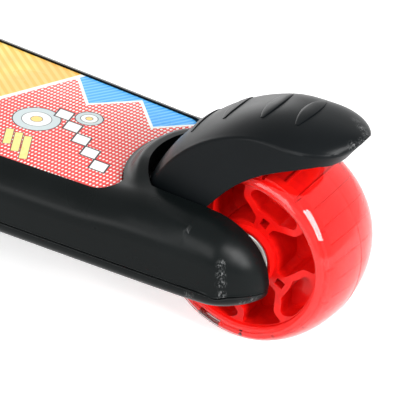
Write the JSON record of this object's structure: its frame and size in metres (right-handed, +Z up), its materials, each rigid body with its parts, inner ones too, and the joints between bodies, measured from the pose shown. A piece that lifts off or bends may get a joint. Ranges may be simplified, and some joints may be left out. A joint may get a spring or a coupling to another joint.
{
  "type": "three-wheel kick scooter",
  "caption": "Child's folding kick scooter with a moulded deck, lean-to-steer front wheels, a hinged fender brake over the small rear wheel and a height-adjustable bar.",
  "frame": {"origin": "on the ground, in the middle of the scooter's length and width", "axes": "+X forward (towards the two front wheels), +Y to the rider's left, +Z up"},
  "size_m": [0.55, 0.298, 0.8085],
  "materials": {
    "black_plastic": "fine-grained black moulded plastic with soft highlights",
    "frame_plastic": "matt black glass-filled plastic",
    "panel_print": "printed film: red dots on white, yellow and blue areas",
    "zinc_steel": "bright zinc-plated steel",
    "bearing_steel": "ground steel with dark seals",
    "nylon": "off-white nylon",
    "elastomer": "red polyurethane bushing",
    "tube_aluminium": "satin anodised tube",
    "grip_rubber": "soft black rubber with ribs",
    "button_red": "red moulded button",
    "clear_tyre": "clear polyurethane, tinted red by the core behind it",
    "core_red": "glossy red moulded core",
    "light_circuit": "small potted light module"
  },
  "bodies": {
    "deck": {"deck_top_shell": "black_plastic", "deck_bottom_shell": "black_plastic", "deck_panel": "panel_print", "rear_axle_bolt": "zinc_steel", "rear_axle_nut": "zinc_steel", "rear_spacer_left": "nylon", "rear_spacer_right": "nylon", "rear_magnet_sleeve": "zinc_steel", "brake_pivot_pin": "zinc_steel", "brake_spring": "zinc_steel", "front_frame": "frame_plastic", "kingpin_bolt": "zinc_steel", "kingpin_nut": "zinc_steel", "upper_bushing": "elastomer", "lower_bushing": "elastomer", "fold_bolt": "zinc_steel", "fold_nut": "zinc_steel", "foot_bolt_1": "zinc_steel", "foot_bolt_2": "zinc_steel", "foot_bolt_3": "zinc_steel", "foot_bolt_4": "zinc_steel"},
    "rear_wheel": {"rear_tyre": "clear_tyre", "rear_core": "core_red", "rear_bearing_left": "bearing_steel", "rear_bearing_right": "bearing_steel", "rear_light_module": "light_circuit"},
    "brake": {"rear_brake_fender": "black_plastic"},
    "truck": {"truck_beam": "frame_plastic", "front_axle_bolt_left": "zinc_steel", "front_axle_bolt_right": "zinc_steel", "front_spacer_left": "nylon", "front_spacer_right": "nylon", "front_magnet_sleeve_left": "zinc_steel", "front_magnet_sleeve_right": "zinc_steel"},
    "front_wheel_left": {"front_left_tyre": "clear_tyre", "front_left_core": "core_red", "front_left_bearing_left": "bearing_steel", "front_left_bearing_right": "bearing_steel", "front_left_light_module": "light_circuit"},
    "front_wheel_right": {"front_right_tyre": "clear_tyre", "front_right_core": "core_red", "front_right_bearing_left": "bearing_steel", "front_right_bearing_right": "bearing_steel", "front_right_light_module": "light_circuit"},
    "stem": {"stem_base": "frame_plastic", "lower_tube": "tube_aluminium", "tube_bush": "nylon", "clamp_collar": "frame_plastic", "clamp_skewer": "zinc_steel", "clamp_nut": "zinc_steel", "clamp_washer": "nylon"},
    "fold_button": {"fold_button": "button_red"},
    "upper_stem": {"upper_tube": "tube_aluminium", "handlebar_tee": "frame_plastic", "handlebar": "tube_aluminium", "grip_left": "grip_rubber", "grip_right": "grip_rubber"},
    "clamp_lever": {"clamp_lever": "black_plastic"}
  },
  "joints": [
    {"name": "rear_wheel_spin", "type": "hinge", "parent": "deck", "child": "rear_wheel", "pos_m": [-0.235, 0, 0.04], "axis": [0, 1, 0], "continuous": true},
    {"name": "brake_press", "type": "hinge", "parent": "deck", "child": "brake", "pos_m": [-0.19, 0, 0.048], "axis": [0, -1, 0], "range_deg": [0, 14], "stiffness_Nm_per_rad": 0.4, "springref_deg": -17.19, "deforming": ["brake_spring"]},
    {"name": "lean_steer", "type": "hinge", "parent": "deck", "child": "truck", "pos_m": [0.215, 0, 0.06], "axis": [0.7071, 0, 0.7071], "range_deg": [-12, 12], "stiffness_Nm_per_rad": 60},
    {"name": "front_left_spin", "type": "hinge", "parent": "truck", "child": "front_wheel_left", "pos_m": [0.215, 0.112, 0.06], "axis": [0, 1, 0], "continuous": true},
    {"name": "front_right_spin", "type": "hinge", "parent": "truck", "child": "front_wheel_right", "pos_m": [0.215, -0.112, 0.06], "axis": [0, 1, 0], "continuous": true},
    {"name": "stem_fold", "type": "hinge", "parent": "deck", "child": "stem", "pos_m": [0.18, 0, 0.122], "axis": [0, -1, 0], "range_deg": [0, 78]},
    {"name": "button_push", "type": "slide", "parent": "stem", "child": "fold_button", "axis": [0.9781, 0, 0.2079], "range_m": [0, 0.004], "stiffness_N_per_m": 500, "springref_m": -0.004},
    {"name": "height_slide", "type": "slide", "parent": "stem", "child": "upper_stem", "axis": [-0.2079, 0, 0.9781], "range_m": [-0.15, 0]},
    {"name": "lever_swing", "type": "hinge", "parent": "stem", "child": "clamp_lever", "pos_m": [0.1194, -0.027, 0.49659], "axis": [0.2079, 0, -0.9781], "range_deg": [0, 110]}
  ]
}
